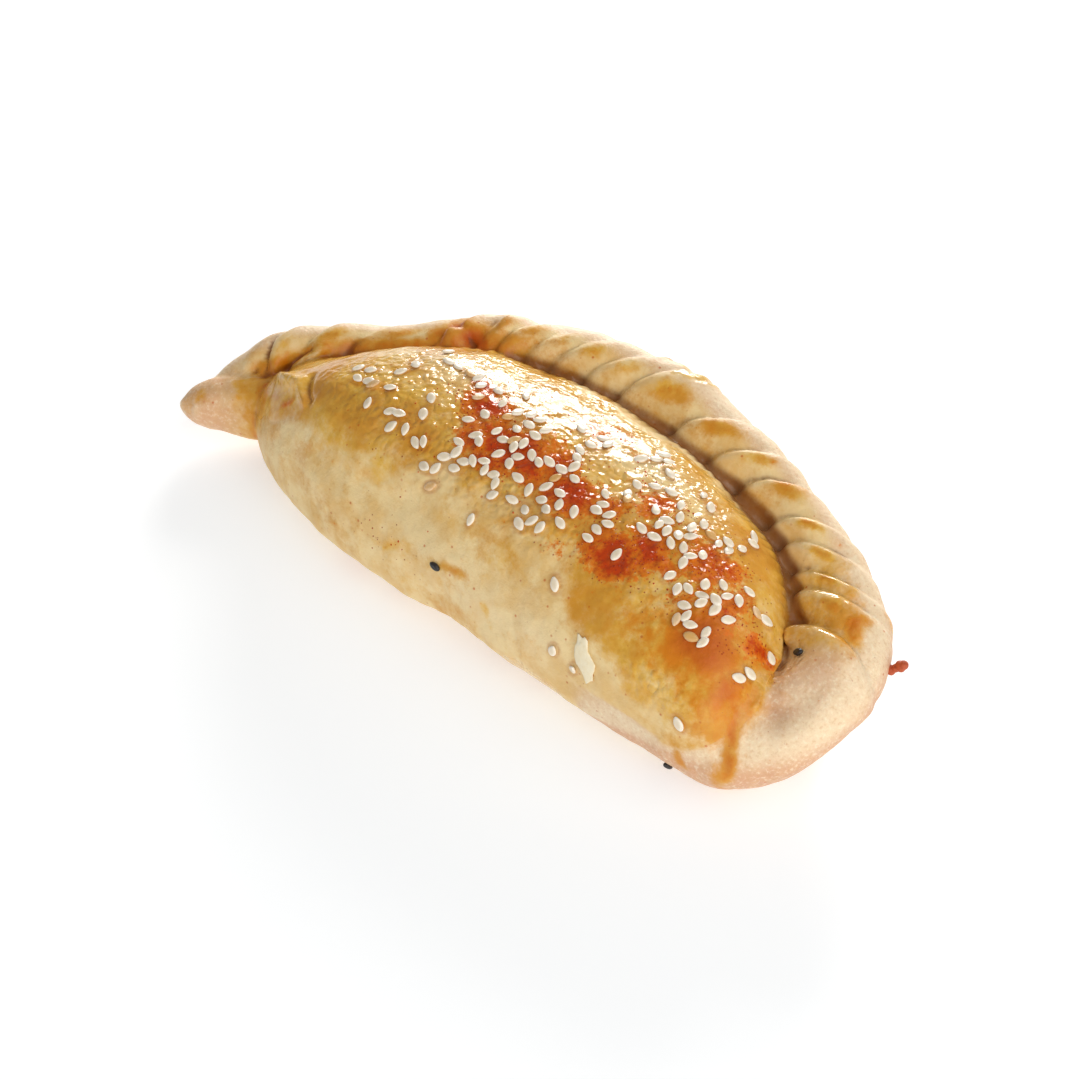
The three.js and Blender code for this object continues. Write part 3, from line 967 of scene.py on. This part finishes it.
def seedFinish():
    paint = Paint("sesameSeed")
    toast = paint.attribute("toast")
    rim = paint.attribute("rim")
    mottle = paint.cloud(0.9, 3, 0.6)
    colour = paint.mix(rim, tint(230, 214, 186), tint(252, 245, 230))
    colour = paint.mix((toast * (0.5 + mottle)).between(0.05, 0.9) * 0.85, colour, tint(214, 158, 66))
    normal = paint.bump(mottle, 0.12, 0.6)
    return paint.finish({
        "Base Color": colour, "Roughness": 0.33, "Subsurface Weight": 0.1,
        "Subsurface Radius": (1.0, 0.8, 0.5), "Subsurface Scale": 0.0006, "Normal": normal,
    })


def makeSesame(ground):
    # gives back every seed's transform, for the ring of pooled glaze and painted shadow round it
    dice = random.Random(sesame["seed"])
    data = seedShape(sesame["length"], sesame["width"], sesame["thickness"], sesame["point"])
    whole = bmesh.new()
    toastLayer = whole.verts.layers.float.new("toast")
    rimLayer = whole.verts.layers.float.new("rim")
    placed = []
    for centre, spread, count in sesame["clusters"]:
        tries = 0
        done = 0
        while done < count and tries < sesame["tries"]:
            tries += 1
            place, normal = ground.scattered(centre, spread, dice)
            nearest = min([(place - other.translation).length for other in placed], default=1) / mm
            if nearest < sesame["gap"]:
                continue
            done += 1
            size = dice.uniform(*sesame["sizes"])
            rise = sesame["thickness"] / 2 - sesame["sink"] - dice.uniform(0, sesame["unevenSink"])
            if nearest < sesame["length"] * sesame["piled"]:
                rise += sesame["pileRise"]
            turn = dice.uniform(0, 2 * math.pi)
            transform = standingOn(place, normal, turn, rise, dice.gauss(0, sesame["tilt"]))
            transform = transform @ Matrix.Diagonal((size, size * dice.uniform(*sesame["widths"]), size, 1))
            placed.append(transform)
            browned = dice.random() < sesame["toasted"]
            toast = dice.uniform(*sesame["toast" if browned else "plainToast"])
            for source, corner in zip(data.vertices, addCopy(whole, data, transform)):
                across = math.hypot(source.co.x / sesame["length"], source.co.y / sesame["width"]) / mm
                corner[toastLayer] = toast
                corner[rimLayer] = min(1, max(0, across * 2.6 - 0.35))
    finishPiece("sesameSeeds", whole, seedFinish())
    print("sesame seeds:", len(placed))
    return placed


def poolGlazeAndShadow(crust, seeds):
    # a thin darker ring at the foot of every seed, stored on the crust: pooled glaze and painted contact
    # shadow
    points = pointArray(crust.data, "co")
    tree = KDTree(len(points))
    for number, spot in enumerate(points):
        tree.insert(spot, number)
    tree.balance()
    pool = np.zeros(len(points))
    for seed in seeds:
        back = seed.inverted()
        for spot, number, _ in tree.find_range(seed.translation, sesame["length"] * 0.75 * mm):
            local = back @ spot
            reach = math.hypot(local.x / sesame["length"], local.y / sesame["width"]) * 2 / mm
            ring = math.exp(-((reach - sesame["ringPlace"]) / sesame["ringWidth"]) ** 2)
            pool[number] = max(pool[number], ring)
    layer = crust.data.attributes.new("pool", "FLOAT", "POINT")
    layer.data.foreach_set("value", pool.astype(np.float32))


def mottledFinish(name, size, first, second, roughness, relief):
    # two mingled tints in clouds about size mm across, with a relief that is relief mm deep
    paint = Paint(name)
    mottle = paint.cloud(size, 3, 0.6)
    return paint.finish({
        "Base Color": paint.mix(mottle, tint(*first), tint(*second)), "Roughness": roughness,
        "Normal": paint.bump(mottle, relief, 0.8),
    })


nigella = {
    "size": (2.9, 1.7, 1.3),
    "point": 0.28,
    "rise": 0.35,
    # a place near each seed, and its turn in radians
    "places": [((0.5, -33.2, 18.5), 1.35), ((68.5, -1.8, 23.6), 2.6), ((60, -28.5, 1.8), 0.2)],
}


def makeNigella(ground):
    material = mottledFinish("nigellaSeed", 0.35, (16, 15, 18), (52, 48, 50), 0.32, 0.15)
    data = seedShape(*nigella["size"], nigella["point"])
    whole = bmesh.new()
    for spot, turn in nigella["places"]:
        place, normal = ground.nearest(spot)
        addCopy(whole, data, standingOn(place, normal, turn, nigella["rise"]))
    finishPiece("nigellaSeeds", whole, material, 2)


grains = {
    "size": (0.16, 0.38),  # mm across, from and to
    # a place near the middle, how far they spread along and across, how many grains
    "areas": [((0, -11, 37), (11, 5), 90), ((17, -12, 36), (6, 4), 40), ((36, -15, 34), (6, 4), 40),
              ((31, -2, 37), (5, 4), 60), ((47, -4, 34), (5, 5), 40), ((8, 5, 36), (8, 4), 40),
              ((62, -10, 29), (3, 4), 30), ((-13, -34, 17), (5, 3), 14), ((-14, -7, 37), (5, 4), 40),
              ((5, -22, 33), (9, 3), 6)],
    "seed": 5,
}


def makeGrains(ground):
    dice = random.Random(grains["seed"])
    paint = Paint("groundSpice")
    hue = paint.cloud(1.3, 2, 0.5)
    colour = paint.mix(hue.between(0.35, 0.65), tint(212, 82, 18), tint(168, 44, 12))
    material = paint.finish({"Base Color": colour, "Roughness": 0.5, "Specular IOR Level": 0.2})
    shape = bmesh.new()
    bmesh.ops.create_icosphere(shape, subdivisions=1, radius=0.5 * mm)
    data = meshFrom("grain", shape)
    whole = bmesh.new()
    for centre, spread, count in grains["areas"]:
        for _ in range(count):
            place, normal = ground.scattered(centre, spread, dice)
            size = dice.uniform(*grains["size"])
            stretch = Matrix.Diagonal((size * dice.uniform(1, 1.7), size, size * 0.6, 1))
            addCopy(whole, data, standingOn(place, normal, dice.uniform(0, 2 * math.pi), 0.05) @ stretch)
    finishPiece("spiceGrains", whole, material, 0)


flake = {
    "place": (39.7, -29.6, 20),
    "size": (10.0, 3.8, 0.8),
    "turn": 0.5,
    "ragged": 0.5,  # how uneven its edge is, and how close the notches are
    "notches": 3.7,
    "taper": 0.35,
    "lift": 0.12,  # mm it stays above the crust
    "press": 0.9,  # how much of its thickness is left
    "sunk": 0.2,
}

crumb = {
    "place": (80, 11.5, 18.5),
    "size": 2.8,
    "reach": 3.3,
    "lean": 0.8,  # how steeply it points up
    "lumps": [(0.1, 0.75), (0.45, 0.62), (0.8, 0.8), (1.0, 0.7)],  # share of the reach, share of the size
    "uneven": 0.12,
}


def makeFlake(ground):
    # a flake of pale dough pressed into the glaze: a thin uneven leaf that follows the crust
    material = mottledFinish("paleFlake", 1.2, (252, 244, 220), (240, 220, 172), 0.35, 0.2)
    place, normal = ground.nearest(flake["place"])
    length, width, thickness = flake["size"]
    whole = bmesh.new()
    bmesh.ops.create_uvsphere(whole, u_segments=24, v_segments=16, radius=0.5)
    for corner in whole.verts:
        edge = 1 + flake["ragged"] * noise.noise(Vector((corner.co.x, corner.co.y, 0)) * flake["notches"])
        corner.co.x *= edge
        corner.co.y *= edge * (1 - flake["taper"] * corner.co.x)
    bmesh.ops.scale(whole, vec=Vector((length, width, thickness)) * mm, verts=whole.verts)
    bmesh.ops.transform(whole, matrix=standingOn(place, normal, flake["turn"], 0), verts=whole.verts)
    for corner in whole.verts:
        under, up, _, _ = ground.tree.find_nearest(corner.co)
        height = max((corner.co - place).dot(normal) - (under - place).dot(normal), -flake["sunk"] * mm)
        corner.co = under + up * (flake["lift"] * mm + flake["press"] * height)
    finishPiece("doughFlake", whole, material, 0)


def makeCrumb(ground):
    # a stray baked crumb that sticks out of the outer wall, of lumps run together
    material = mottledFinish("bakedCrumb", 0.6, (206, 96, 40), (150, 50, 20), 0.55, 0.2)
    place, normal = ground.nearest(crumb["place"])
    outward = (Vector((normal.x, normal.y, 0)).normalized() + Vector((0, 0, crumb["lean"]))).normalized()
    whole = bmesh.new()
    for share, size in crumb["lumps"]:
        middle = Matrix.Translation(place + outward * crumb["reach"] * share * mm)
        bmesh.ops.create_icosphere(whole, subdivisions=3, radius=crumb["size"] * size / 2 * mm, matrix=middle)
    for corner in whole.verts:
        spot = corner.co * 900
        sway = [noise.noise(spot + Vector((0, 0, shift))) for shift in (0, 31, 57)]
        corner.co += Vector(sway) * crumb["uneven"] * mm
    finishPiece("bakedCrumb", whole, material, 0)


floorLook = {"reach": 3, "tint": tint(214, 214, 214), "glow": (0.92, 0.96, 1, 1), "glowStrength": 0.5}


def makeFloor():
    shape = bmesh.new()
    bmesh.ops.create_grid(shape, x_segments=8, y_segments=8, size=floorLook["reach"])
    piece = newPiece("floor", shape)
    paint = Paint("floorPaint")
    piece.data.materials.append(paint.finish({
        "Base Color": floorLook["tint"], "Roughness": 0.8, "Specular IOR Level": 0.1,
        "Emission Color": floorLook["glow"], "Emission Strength": floorLook["glowStrength"],
    }))


makeCamera(camera)
makeLights(softBoxes)
makeFloor()
crust = makeCrust()
ground = Ground(crust)
poolGlazeAndShadow(crust, makeSesame(ground))
makeNigella(ground)
makeGrains(ground)
makeFlake(ground)
makeCrumb(ground)
print("seeds, grains and flake laid")
